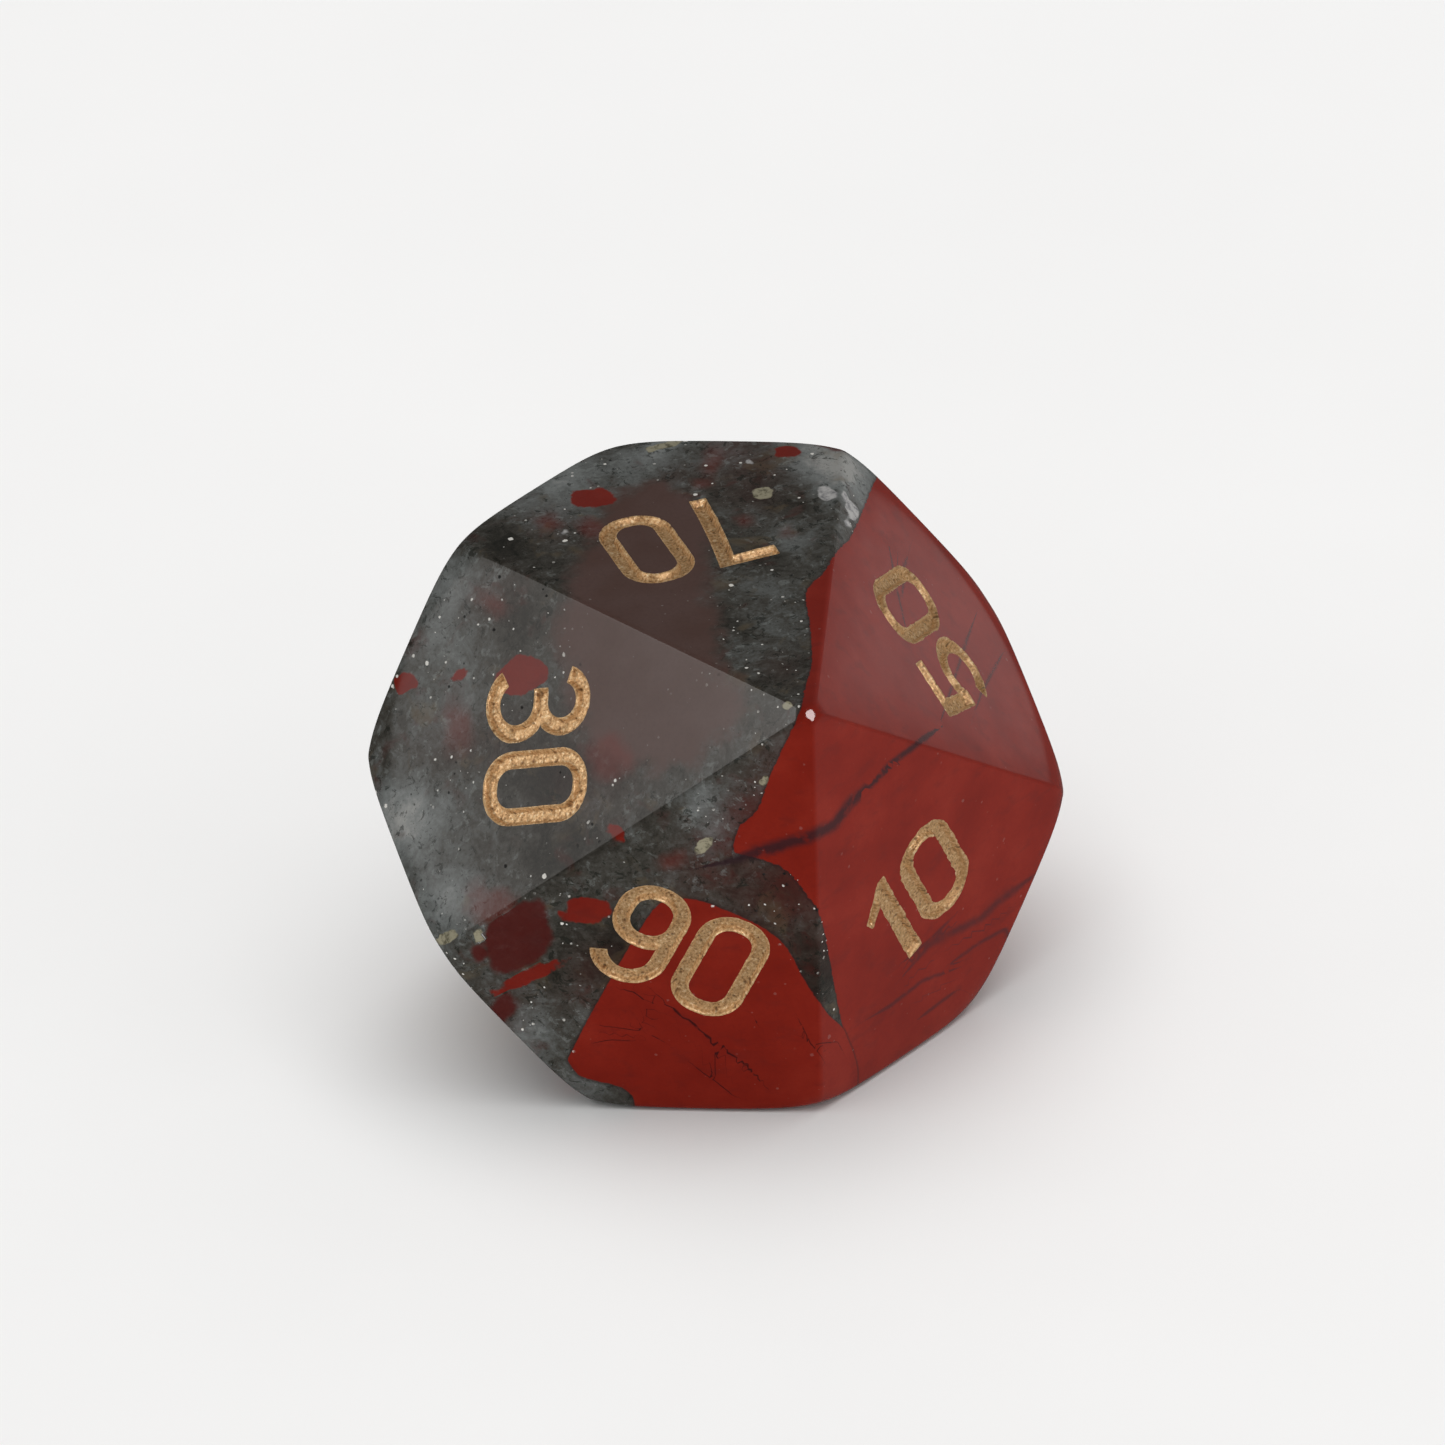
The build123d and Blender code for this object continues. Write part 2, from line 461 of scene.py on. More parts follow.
def paint_lattice(loops, seed):
    """Points inside the stroke: rows that follow its edge on the walls, a shaken lattice between."""
    rng = np.random.default_rng(seed)
    rows = []
    for inset in WALL_ROWS:
        row = np.concatenate([loop - inset * outward(loop) for loop in loops])
        rows.append(row[depth_inside(row, loops) > inset * 0.93])
    low = np.concatenate(loops).min(0)
    high = np.concatenate(loops).max(0)
    across = np.arange(low[0], high[0], PAINT_STEP)
    upward = np.arange(low[1], high[1], PAINT_STEP * 0.87)
    grid = np.stack(np.meshgrid(across, upward), -1)
    grid[1::2, :, 0] += PAINT_STEP / 2
    grid = grid.reshape(-1, 2) + rng.uniform(-0.012, 0.012, (grid.size // 2, 2))
    grid = grid[is_inside(grid, loops)]
    rows.append(grid[depth_inside(grid, loops) > FLOOR_START])
    rows = np.concatenate(rows)
    return rows[is_inside(rows, loops)]


def grainy(points, seed):
    """Grain, soft lumps and a few pits in the paint, in millimetres of height."""
    rng = np.random.default_rng(seed)
    grain = rng.normal(0, 0.006, len(points))
    lumps = np.zeros(len(points))
    for _ in range(14):
        wave = rng.normal(0, 1, 2)
        wave *= rng.uniform(7, 26) / np.linalg.norm(wave)
        lumps += np.sin(points @ wave + rng.uniform(0, 6.28)) * 0.0026
    pits = np.zeros(len(points))
    for middle in points[rng.integers(0, len(points), len(points) // 130)]:
        away = np.linalg.norm(points - middle, axis=1) / rng.uniform(0.035, 0.075)
        pits = np.maximum(pits, np.exp(-away**2))
    return grain + lumps - 0.05 * pits, pits


def make_paint(node, face, seed):
    """One numeral's paint: a thin lip on the stone round it, down the walls, over a grainy floor."""
    outlines = [smooth_loop(loop, PAINT_STEP) for loop in cad_outlines(node, face)]
    walls = [loop - PAINT_GAP * outward(loop) for loop in outlines]
    spill = OVERSPILL.get(face.tens, USUAL_OVERSPILL)
    reaches = [RIM_BEVEL + ragged(len(loop), spill, seed + k) for k, loop in enumerate(outlines)]
    lips = spread(outlines, reaches)
    inner = paint_lattice(walls, seed)
    lip_count = sum(len(loop) for loop in lips)
    ridge = [loop + 0.45 * (lip - loop) for loop, lip in zip(outlines, lips)]
    flat = np.concatenate([*lips, *ridge, *outlines, inner])
    triangles = triangulate(lips, [np.concatenate(ridge), np.concatenate(outlines), inner])
    if triangles is None:
        raise RuntimeError(f"the paint of {node} crosses itself")
    grain, pits = grainy(flat, seed)
    depth = depth_inside(inner, outlines)
    height = grain.copy()
    height[:lip_count] = LIP_EDGE
    height[lip_count:2 * lip_count] = LIP_RIDGE + 0.3 * grain[lip_count:2 * lip_count]
    height[2 * lip_count:3 * lip_count] = LIP_EDGE
    settle = np.clip(depth / 0.12, 0.15, 1)
    height[3 * lip_count:] = paint_profile(depth, PAINT_DEPTH) + grain[3 * lip_count:] * settle
    under = np.concatenate(walls)
    points = np.concatenate([
        face.solid(flat, height), face.solid(under, -PAINT_UNDERSIDE), face.solid(under, -PAINT_BOTTOM)
    ])
    first_under = len(flat)
    first_low = first_under + lip_count
    polygons = triangles.tolist() + bands(lips, first_low, first_under, 0)
    polygons += (triangulate(walls)[:, ::-1] + first_low).tolist()
    paint = new_object("paint_" + node[5:], points, polygons)
    set_attribute(paint.data, "pit", np.concatenate([pits, np.zeros(2 * lip_count)]))
    paint.data.shade_smooth()
    paint.data.set_sharp_from_angle(angle=math.radians(SHARP_PAINT))
    return paint


# -------- the stone's pattern

# The pattern is laid out on a chart of the upper faces, seen along the axis: x to row X, y to the
# top face's far corner, in millimetres from the point. Each region goes straight down into the
# stone, and leans over and turns on the lower faces, so that they look different.
RED_REGION = [
    (-0.6, -0.3), (0.1, 0.7), (0.9, 1.6), (1.5, 2.6), (1.8, 3.2), (2.3, 4.2), (3.2, 4.7), (4.0, 5.3),
    (5.0, 5.8), (6.2, 6.8), (7.4, 7.8), (16, 14), (24, -4), (12, -22), (1.6, -16), (1.4, -10.4),
    (0.95, -9.1), (0.55, -7.5), (0.2, -6.0), (-0.3, -5.0), (-1.0, -4.0), (-2.3, -3.2), (-2.2, -2.6),
    (-1.6, -2.2), (-1.25, -1.4),
]
RED_CLAST = [
    (-4.6, -4.1), (-3.6, -4.1), (-2.5, -4.8), (-1.5, -5.6), (-0.9, -6.3), (-0.5, -7.2), (-0.1, -8.0),
    (0.4, -8.6), (1.0, -9.1), (1.5, -10.5), (1.0, -16), (-5.5, -15), (-5.3, -9.4), (-6.9, -8.1),
    (-7.15, -7.6), (-6.3, -6.3),
]
MAUVE_REGION = [
    (-2.6, 8.0), (-3.9, 7.0), (-4.4, 6.4), (-5.2, 5.0), (-5.5, 2.0), (-4.8, 0.4), (-3.0, -0.5),
    (-1.6, 0.7), (-1.5, 2.5), (-0.9, 3.7), (-0.4, 5.0), (0.4, 6.2), (1.1, 8.0), (0.3, 9.4), (-1.2, 9.2),
]

# Soft light (+) and dark (-) places in the grey stone: x, y, reach, strength.
CLOUDS = [
    (6.2, 8.2, 1.3, 1.6), (5.2, 9.0, 0.9, 0.8), (1.3, 4.5, 0.55, 0.3), (2.8, 6.3, 0.7, 0.65),
    (0.7, 3.2, 0.5, 0.5), (-0.8, 2.6, 0.5, 0.35), (-8.2, 6.6, 1.2, 0.5), (-10.3, 1.0, 1.1, 1.5),
    (-9.9, -2.0, 1.0, 1.1), (-6.9, 7.8, 0.9, 0.6), (-7.6, 5.2, 0.8, 0.25), (-8.2, -6.6, 0.9, 0.8),
    (-6.9, -8.6, 0.9, 0.5), (-2.8, -2.6, 0.5, 0.6), (0.9, 10.7, 0.9, 1.3), (-3.2, -1.5, 0.5, 0.5),
    (-2.3, 10.2, 1.0, 1.0), (-0.3, 10.2, 0.8, 0.6), (-4.2, 9.7, 0.9, 0.5), (3.0, 10.0, 0.8, 0.6),
    (-5.4, 8.6, 0.8, -0.7), (-6.3, 0.6, 1.0, -0.65), (1.7, 8.4, 1.0, -0.1), (-0.6, 3.6, 0.6, -0.2),
    (3.5, 7.6, 0.9, -0.4), (-4.6, -1.9, 1.2, -0.1), (-6.3, -4.9, 1.2, -0.3), (-0.9, -4.7, 0.8, -0.4),
    (-5.9, 5.6, 0.9, -0.3), (-6.6, -1.7, 0.9, -0.6), (-8.0, 4.2, 1.0, 0.25), (0.2, -7.2, 1.0, -0.7),
    (-4.6, -2.6, 1.0, -0.1), (-7.2, 2.4, 0.9, -0.2), (-5.4, -5.4, 0.9, -0.6), (1.9, 5.6, 0.6, -0.4),
]

# Places where red stone glows through the grey: x, y, reach, strength.
FLUSHES = [
    (0.3, -6.6, 0.9, 0.4), (-0.6, -4.7, 1.1, 1.3), (-1.8, -2.3, 0.9, 1.3), (-3.2, -3.3, 0.9, 0.6),
    (-6.3, -5.3, 0.9, 0.45), (-0.9, -0.9, 0.7, 0.6), (0.95, 9.3, 0.7, 0.3), (3.2, 10.0, 0.7, 0.6),
    (3.6, 9.0, 1.1, 0.35), (2.6, 8.2, 1.0, 0.25), (-3.5, 8.8, 0.7, 0.4), (-2.2, -4.3, 0.8, 0.4),
    (-5.6, 0.2, 1.2, 0.35), (0.0, 1.8, 0.6, 0.3), (-6.2, 6.9, 0.8, 0.3), (-8.6, 2.9, 0.8, 0.3),
    (-7.2, 2.5, 0.8, 0.25), (-8.9, -5.7, 0.9, 0.35),
]

# Chips of other stone, by kind: x, y, width, height, turn in degrees.
RED, DARK_RED, FAINT_RED, WHITE, PYRITE = 1, 2, 3, 4, 5
CHIPS = {
    RED: [
        (-6.3, 4.16, 1.2, 1.15, 20), (-9.08, 5.2, 0.7, 0.6, 10), (-7.68, 4.82, 0.42, 0.28, 30),
        (-5.5, -1.62, 0.28, 0.62, 15), (-6.5, -3.52, 1.4, 0.66, -22), (-8.15, -4.9, 1.7, 0.4, 6),
        (-1.82, 9.33, 1.35, 0.72, -4), (4.7, 9.25, 0.72, 0.42, -12),
    ],
    DARK_RED: [
        (-8.4, -3.7, 1.8, 1.8, 8), (-9.5, -3.8, 0.4, 0.5, 20), (-8.9, -5.6, 0.85, 0.7, 30),
        (6.1, 9.1, 0.8, 0.3, -40),
    ],
    FAINT_RED: [
        (-8.2, 3.2, 0.6, 1.3, -12), (-6.3, 6.7, 0.45, 0.8, 20), (-5.0, 0.75, 1.0, 1.35, 10),
        (-9.0, -2.6, 1.1, 0.9, 8), (-3.55, 8.83, 0.6, 0.5, 0), (-2.5, 8.3, 0.7, 0.7, 10),
        (2.3, 9.5, 0.9, 0.4, 40), (1.6, 8.9, 0.4, 0.3, 0), (2.05, 7.2, 0.4, 0.3, 0),
        (3.0, 6.45, 0.3, 0.25, 0), (-9.1, -2.2, 0.4, 0.9, 20), (-4.0, -2.9, 0.5, 0.3, 0),
    ],
    WHITE: [
        (4.95, 7.45, 0.48, 0.5, 10), (5.6, 6.7, 0.55, 0.6, 25), (5.07, 6.28, 0.24, 0.3, 0),
        (5.5, 7.2, 0.22, 0.3, 0), (3.4, 9.2, 0.22, 0.2, 30), (-3.6, -8.0, 0.13, 0.13, 0),
        (-0.9, -7.9, 0.17, 0.12, 0), (1.2, -9.95, 0.14, 0.24, 0), (-3.3, 8.35, 0.25, 0.2, 20),
    ],
    PYRITE: [
        (3.13, 7.98, 0.64, 0.46, -8), (-0.5, 0.45, 0.2, 0.22, 20), (-1.4, -1.45, 0.3, 0.24, 30),
        (-3.14, -2.74, 0.5, 0.36, 15), (-9.5, -3.35, 0.22, 0.4, 15), (-10.3, -3.1, 0.5, 0.34, 15),
        (0.95, 10.7, 1.0, 0.34, 0),
    ],
}

HIDDEN_CHIPS = 26            # scattered at random over the lower faces
CHIP_SQUARENESS = 3.4        # 2 makes an ellipse, more a rounded box

# Where the bright dust in the grey stone is thickest: x, y.
SPARKS = [
    (-6.4, 7.2), (-5.9, 5.8), (-5.3, 6.1), (-8.0, 6.1), (-8.2, 6.9), (-7.0, 4.3), (-5.2, 4.9),
    (-3.2, 8.4), (-6.1, 6.7), (-1.0, 9.7), (-8.8, 2.2), (-8.8, 5.5), (-4.6, 5.4), (-5.3, 4.0),
    (-6.1, 3.6), (-8.3, -1.8), (-9.4, -1.4), (-7.3, -3.6), (-6.2, -4.2), (-10.4, -3.3), (-9.5, -3.3),
    (-8.5, -6.2), (-6.4, 0.3), (-8.9, 1.5), (-0.1, 4.2), (-0.7, 3.1), (-1.6, 2.1), (-0.2, 2.2),
    (1.6, 3.4), (-1.3, 1.3), (-0.5, 0.6), (-1.9, -1.8), (-1.3, -3.6), (-0.7, -4.8), (-0.2, -6.8),
    (-1.0, -7.8), (-0.1, -6.0), (-1.7, -4.5),
]

SPARK_REACH, SPARK_STRENGTH = 0.75, 0.22

# Lines through the stone, by kind: half width, then the points they run through.
VEIN, STREAK, CRACK = 1, 2, 3
LINES = {
    VEIN: [
        (0.2, [
            (-3.4, -3.3), (-2.5, -3.4), (-1.37, -3.4), (-0.13, -3.41), (0.73, -3.23), (1.43, -2.68),
            (2.28, -2.26), (3.3, -1.87),
        ]),
        (0.11, [(1.98, -2.42), (3.06, -1.81), (4.59, -1.21), (5.91, -0.77)]),
    ],
    STREAK: [
        (0.08, [(5.5, -0.9), (6.3, -0.16), (7.7, 1.18), (8.6, 2.05), (9.7, 3.03)]),
        (0.14, [(9.6, -5.3), (9.17, -5.59), (7.44, -6.23), (6.8, -6.58), (4.62, -7.05), (3.3, -7.95)]),
        (0.07, [(8.36, -6.87), (6.63, -7.3), (5.22, -7.81)]),
        (0.06, [(5.88, -6.25), (4.62, -6.94), (3.21, -7.56)]),
        (0.07, [(6.0, -7.86), (4.28, -8.07), (2.87, -8.63), (1.78, -8.92)]),
        (0.06, [(5.82, -8.47), (3.94, -9.19)]),
        (0.1, [(7.41, 5.1), (6.9, 4.6), (6.4, 3.7)]),
        (0.08, [(10.18, 1.57), (8.32, 0.24), (7.53, -0.49)]),
        (0.07, [(6.7, 5.6), (6.2, 3.9), (5.8, 2.2)]),
    ],
    CRACK: [
        (0.03, [
            (-4.91, -6.12), (-4.3, -6.84), (-3.49, -7.72), (-2.98, -8.51), (-2.06, -9.28),
            (-1.5, -10.1),
        ]),
        (0.024, [(-5.75, -5.97), (-5.23, -6.23), (-4.82, -6.68), (-4.2, -6.92)]),
        (0.028, [
            (-4.61, -6.43), (-4.41, -6.8), (-3.9, -7.35), (-3.25, -8.05), (-2.68, -8.6), (-2.1, -9.6),
        ]),
        (0.022, [(-6.53, -7.32), (-5.9, -7.4), (-5.06, -7.71)]),
        (0.022, [(-3.83, -8.57), (-3.32, -9.15), (-3.01, -9.46), (-2.5, -10.04), (-2.19, -10.25)]),
        (0.02, [(-2.98, -8.51), (-2.99, -9.47)]),
        (0.02, [(-6.3, -6.85), (-5.47, -7.22), (-4.85, -7.51)]),
        (0.03, [(-2.76, -8.48), (-2.35, -9.03), (-1.84, -9.71), (-1.44, -10.26)]),
        (0.026, [(-1.9, -7.95), (-1.7, -8.3)]),
        (0.018, [(-5.2, -7.0), (-4.9, -7.5), (-4.3, -8.0)]),
        (0.022, [(-0.67, -8.8), (-0.26, -9.3), (0.69, -9.36), (0.99, -9.8)]),
        (0.018, [(-4.82, -6.68), (-4.9, -7.1), (-4.4, -7.3)]),
        (0.02, [(-0.7, -8.2), (-0.3, -9.2), (0.2, -10.0)]),
    ],
}


def chart_places(points):
    """Each vertex on the chart, and how far it is under the middle."""
    offset = points - CENTRE
    plan = np.stack([offset @ ACROSS, offset @ ALONG], -1)
    under = np.maximum(-(offset @ AXIS), 0)
    turn = np.radians(2.6) * under
    lean = np.stack([-0.50 * under, 0.34 * under], -1)
    turned = np.stack([
        plan[:, 0] * np.cos(turn) - plan[:, 1] * np.sin(turn),
        plan[:, 0] * np.sin(turn) + plan[:, 1] * np.cos(turn),
    ], -1)
    return turned + lean, plan, under


def in_batches(work, points, *rest):
    batches = np.array_split(points, max(1, len(points) // 20000))
    return np.concatenate([work(batch, *rest) for batch in batches])


def region_field(places, outline):
    """Signed distance to a region's outline, positive inside."""
    loop = [smooth_loop(np.array(outline, float), 0.25, 55)]
    distance = in_batches(depth_inside, places, loop)
    return np.where(in_batches(is_inside, places, loop), distance, -distance)


def cloud_field(places, clouds):
    """The sum of soft round spots."""
    total = np.zeros(len(places))
    for x, y, reach, strength in clouds:
        away = ((places - (x, y)) ** 2).sum(1) / reach**2
        total += strength * np.exp(-away)
    return total


def chip_field(places, plan, under):
    """How far outside the nearest chip each vertex is, its kind, and how thick the bright dust is."""
    made = np.zeros((len(places), 3))
    made[:, 0] = 1.0
    made[:, 2] = cloud_field(places, [(x, y, SPARK_REACH, SPARK_STRENGTH) for x, y in SPARKS])
    rng = np.random.default_rng(11)
    hidden = []
    for _ in range(HIDDEN_CHIPS):
        reach, turn = rng.uniform(1.5, 9.8), rng.uniform(0, 6.28)
        size = rng.uniform(0.3, 1.3)
        kind = rng.choice([RED, RED, DARK_RED, FAINT_RED, WHITE])
        x, y = reach * math.cos(turn), reach * math.sin(turn)
        hidden.append((x, y, size, size * rng.uniform(0.4, 1), rng.uniform(0, 180), kind))
    known = [(*chip, kind) for kind, chips in CHIPS.items() for chip in chips]
    for chips, spots, shown in ((known, places, under < 6), (hidden, plan, under > 0.8)):
        for x, y, width, height, turn, kind in chips:
            away = spots - (x, y)
            c, s = math.cos(math.radians(turn)), math.sin(math.radians(turn))
            local = np.abs(np.stack([away @ (c, s) * 2 / width, away @ (-s, c) * 2 / height], -1))
            gap = ((local**CHIP_SQUARENESS).sum(1) ** (1 / CHIP_SQUARENESS) - 1) * min(width, height) / 2
            close = shown & (gap < made[:, 0])
            made[close, 0] = gap[close]
            made[close, 1] = kind
    return made


def line_field(places):
    """How far across the nearest line each vertex is in half widths, 0 if it is by one, its kind."""
    made = np.full((len(places), 3), 50.0)
    best = np.full(len(places), 50.0)
    for kind, half_width, points in ((kind, *line) for kind, lines in LINES.items() for line in lines):
        points = np.array(points, float)
        start, run = points[:-1], np.diff(points, axis=0)
        length = np.linalg.norm(run, axis=1)
        share = ((places[:, None] - start) * run).sum(2) / length**2
        held = np.clip(share, 0, 1)
        gap = np.linalg.norm(places[:, None] - start - held[..., None] * run, axis=2)
        nearest = gap.argmin(1)
        row = np.arange(len(places))
        offset = places - start[nearest]
        across = (run[nearest, 0] * offset[:, 1] - run[nearest, 1] * offset[:, 0]) / length[nearest]
        reach = np.concatenate([[0], np.cumsum(length)])
        along = reach[nearest] + np.clip(share[row, nearest], -2, 3) * length[nearest]
        taper = np.clip(np.minimum(along, reach[-1] - along) / (0.25 * reach[-1]) + 0.02, 0.02, 1)
        size = gap[row, nearest]
        close = (size < 0.75) & (size < best)
        best[close] = size[close]
        made[close, 0] = np.clip(across / (half_width * taper), -50, 50)[close]
        made[close, 1] = 0
        made[close, 2] = kind
    return made


def add_pattern(mesh):
    places, plan, under = chart_places(vertex_places(mesh))
    regions = [region_field(places, outline) for outline in (RED_REGION, RED_CLAST, MAUVE_REGION)]
    set_attribute(mesh, "regions", np.stack(regions, -1))
    set_attribute(mesh, "chip", chip_field(places, plan, under))
    set_attribute(mesh, "line", in_batches(line_field, places))
    clouds, flushes = cloud_field(places, CLOUDS), cloud_field(places, FLUSHES)
    set_attribute(mesh, "tone", np.stack([clouds, flushes, under], -1))


# -------- node helpers

class Nodes:
    """Short calls for building a node tree. Most return an output socket."""

    def __init__(self, tree):
        self.tree = tree
        tree.nodes.clear()

    def add(self, kind, inputs=(), **settings):
        node = self.tree.nodes.new(kind)
        for name, value in settings.items():
            setattr(node, name, value)
        for key, value in dict(inputs).items():
            if isinstance(value, bpy.types.NodeSocket):
                self.tree.links.new(value, node.inputs[key])
            else:
                node.inputs[key].default_value = value
        return node

    def math(self, operation, a, b=0.0, c=0.0):
        return self.add("ShaderNodeMath", {0: a, 1: b, 2: c}, operation=operation).outputs[0]

    def times(self, a, b):
        return self.math("MULTIPLY", a, b)

    def times_plus(self, a, b, c):
        return self.math("MULTIPLY_ADD", a, b, c)

    def vector(self, operation, a, b=(0, 0, 0), scale=1.0):
        inputs = {0: a, 1: b, 3: scale}
        return self.add("ShaderNodeVectorMath", inputs, operation=operation).outputs["Vector"]

    def moved(self, place, by):
        """Places shifted, so that a second noise differs from the first."""
        return self.vector("ADD", place, by)

    def mix(self, share, a, b):
        """One colour into another; each is an output socket or red, green and blue."""
        a, b = ((*x, 1) if isinstance(x, tuple) else x for x in (a, b))
        return self.add("ShaderNodeMix", {0: share, 6: a, 7: b}, data_type="RGBA").outputs[2]

    def smooth(self, value, low, high, bottom=0.0, top=1.0):
        inputs = {"Value": value, "From Min": low, "From Max": high, "To Min": bottom, "To Max": top}
        return self.add("ShaderNodeMapRange", inputs, interpolation_type="SMOOTHSTEP").outputs["Result"]

    def noise(self, place, scale, detail=2.0, roughness=0.5, distortion=0.0, out="Fac"):
        return self.add("ShaderNodeTexNoise", {
            "Vector": place, "Scale": scale, "Detail": detail, "Roughness": roughness,
            "Distortion": distortion,
        }).outputs[out]

    def cells(self, place, scale, feature="F1"):
        return self.add("ShaderNodeTexVoronoi", {"Vector": place, "Scale": scale}, feature=feature)

    def millimetres(self):
        position = self.add("ShaderNodeTexCoord").outputs["Object"]
        return self.vector("SCALE", position, scale=1 / MM)

    def finish(self, shader, inputs, output="ShaderNodeOutputMaterial"):
        """Ends the tree with one shader."""
        self.add(output, {"Surface": self.add(shader, inputs).outputs[0]})

    def attribute(self, name):
        return self.add("ShaderNodeAttribute", attribute_name=name)

    def parts(self, vector):
        return self.add("ShaderNodeSeparateXYZ", {0: vector}).outputs

    def ramp(self, value, stops):
        node = self.add("ShaderNodeValToRGB", {0: value})
        elements = node.color_ramp.elements
        while len(elements) < len(stops):
            elements.new(0.5)
        for element, (place, colour) in zip(elements, stops):
            element.position = place
            element.color = (*colour, 1)
        return node.outputs[0]


def new_material(name):
    material = bpy.data.materials.new(name)
    material.use_nodes = True
    return material, Nodes(material.node_tree)


# -------- materials

def grey_stone(n, place, tone):
    """Cloudy green-grey chalcedony with dark moss, pale grains and a few warm patches."""
    wide = n.noise(place, 0.33, 3, 0.55, 0.3)
    middle = n.noise(place, 1.5, 6, 0.66, 0.9)
    fine = n.noise(place, 7.5, 4, 0.65)
    cloud, flush, _ = n.parts(tone)
    level = n.times_plus(cloud, 0.27, 0.028)
    level = n.times_plus(wide, 0.32, level)
    level = n.times_plus(middle, 0.46, level)
    level = n.times_plus(fine, 0.24, level)
    grey = n.ramp(level, [
        (0.30, (0.015, 0.015, 0.012)), (0.43, (0.037, 0.034, 0.028)), (0.54, (0.072, 0.068, 0.059)),
        (0.66, (0.130, 0.136, 0.130)), (0.82, (0.225, 0.240, 0.236)), (1.0, (0.40, 0.40, 0.385)),
    ])
    warm = n.smooth(n.noise(place, 0.8, 3, 0.55, 0.6), 0.56, 0.74)
    grey = n.mix(n.times(warm, 0.42), grey, (0.16, 0.120, 0.070))
    patch = n.smooth(n.noise(n.moved(place, (31, 7, 3)), 0.9, 3, 0.55, 0.5), 0.56, 0.74, 0.0, 0.40)
    stain = n.times_plus(n.times(flush, n.noise(place, 1.3, 4, 0.6)), 1.1, patch)
    grey = n.mix(n.math("MINIMUM", stain, 0.85), grey, (0.085, 0.018, 0.014))
    grains = n.smooth(n.noise(n.moved(place, (5, 11, 23)), 2.8, 5, 0.62, 0.4), 0.575, 0.64)
    pale = n.smooth(level, 0.40, 0.62)
    grey = n.mix(n.times(n.times(grains, pale), 0.42), grey, (0.26, 0.28, 0.27))
    moss = n.smooth(n.noise(n.moved(place, (3, 17, 9)), 2.3, 7, 0.74, 0.7), 0.565, 0.61)
    grey = n.mix(n.times(moss, 0.66), grey, (0.013, 0.015, 0.011))
    threads = n.smooth(n.noise(n.moved(place, (13, 1, 19)), 4.6, 5, 0.7, 1.5), 0.60, 0.66)
    return n.mix(n.times(threads, 0.6), grey, (0.012, 0.014, 0.010))


def red_jasper(n, place, streak_place):
    """Dense red jasper with low clouding and faint darker streaks."""
    wide = n.noise(place, 0.45, 3, 0.55)
    red = n.ramp(wide, [
        (0.30, (0.225, 0.0150, 0.0078)), (0.52, (0.265, 0.0190, 0.0098)), (0.72, (0.300, 0.0255, 0.0138)),
    ])
    streaks = n.smooth(n.noise(streak_place, 1.0, 4, 0.6, 0.2), 0.52, 0.72)
    red = n.mix(n.times(streaks, 0.35), red, (0.14, 0.016, 0.013))
    grain = n.smooth(n.noise(place, 9, 3, 0.7), 0.35, 0.75, 0.0, 0.22)
    return n.mix(grain, red, (0.17, 0.012, 0.009))


def mauve_stone(n, place):
    """Smooth brownish mauve silica."""
    wide = n.noise(place, 0.6, 2, 0.5)
    mauve = n.ramp(wide, [(0.35, (0.107, 0.060, 0.050)), (0.65, (0.120, 0.072, 0.063))])
    grain = n.smooth(n.noise(place, 7, 3, 0.7), 0.4, 0.8, 0.0, 0.3)
    return n.mix(grain, mauve, (0.075, 0.045, 0.038))


def specks(n, place, spacing, size, share, seed):
    """Separate uneven specks: a mask, from a share of the cells of a random pattern."""
    cells = n.cells(n.moved(place, (seed, seed * 2, seed * 3)), 1 / spacing)
    pick = n.parts(cells.outputs["Color"])
    chosen = n.math("LESS_THAN", pick[0], share)
    evenness = n.math("POWER", pick[1], 2.0)
    radius = n.times_plus(evenness, size * 0.8 / spacing, size * 0.45 / spacing)
    near = n.math("SUBTRACT", 1.0, n.math("DIVIDE", cells.outputs["Distance"], radius))
    return n.times(n.smooth(near, 0.0, 0.25), chosen)


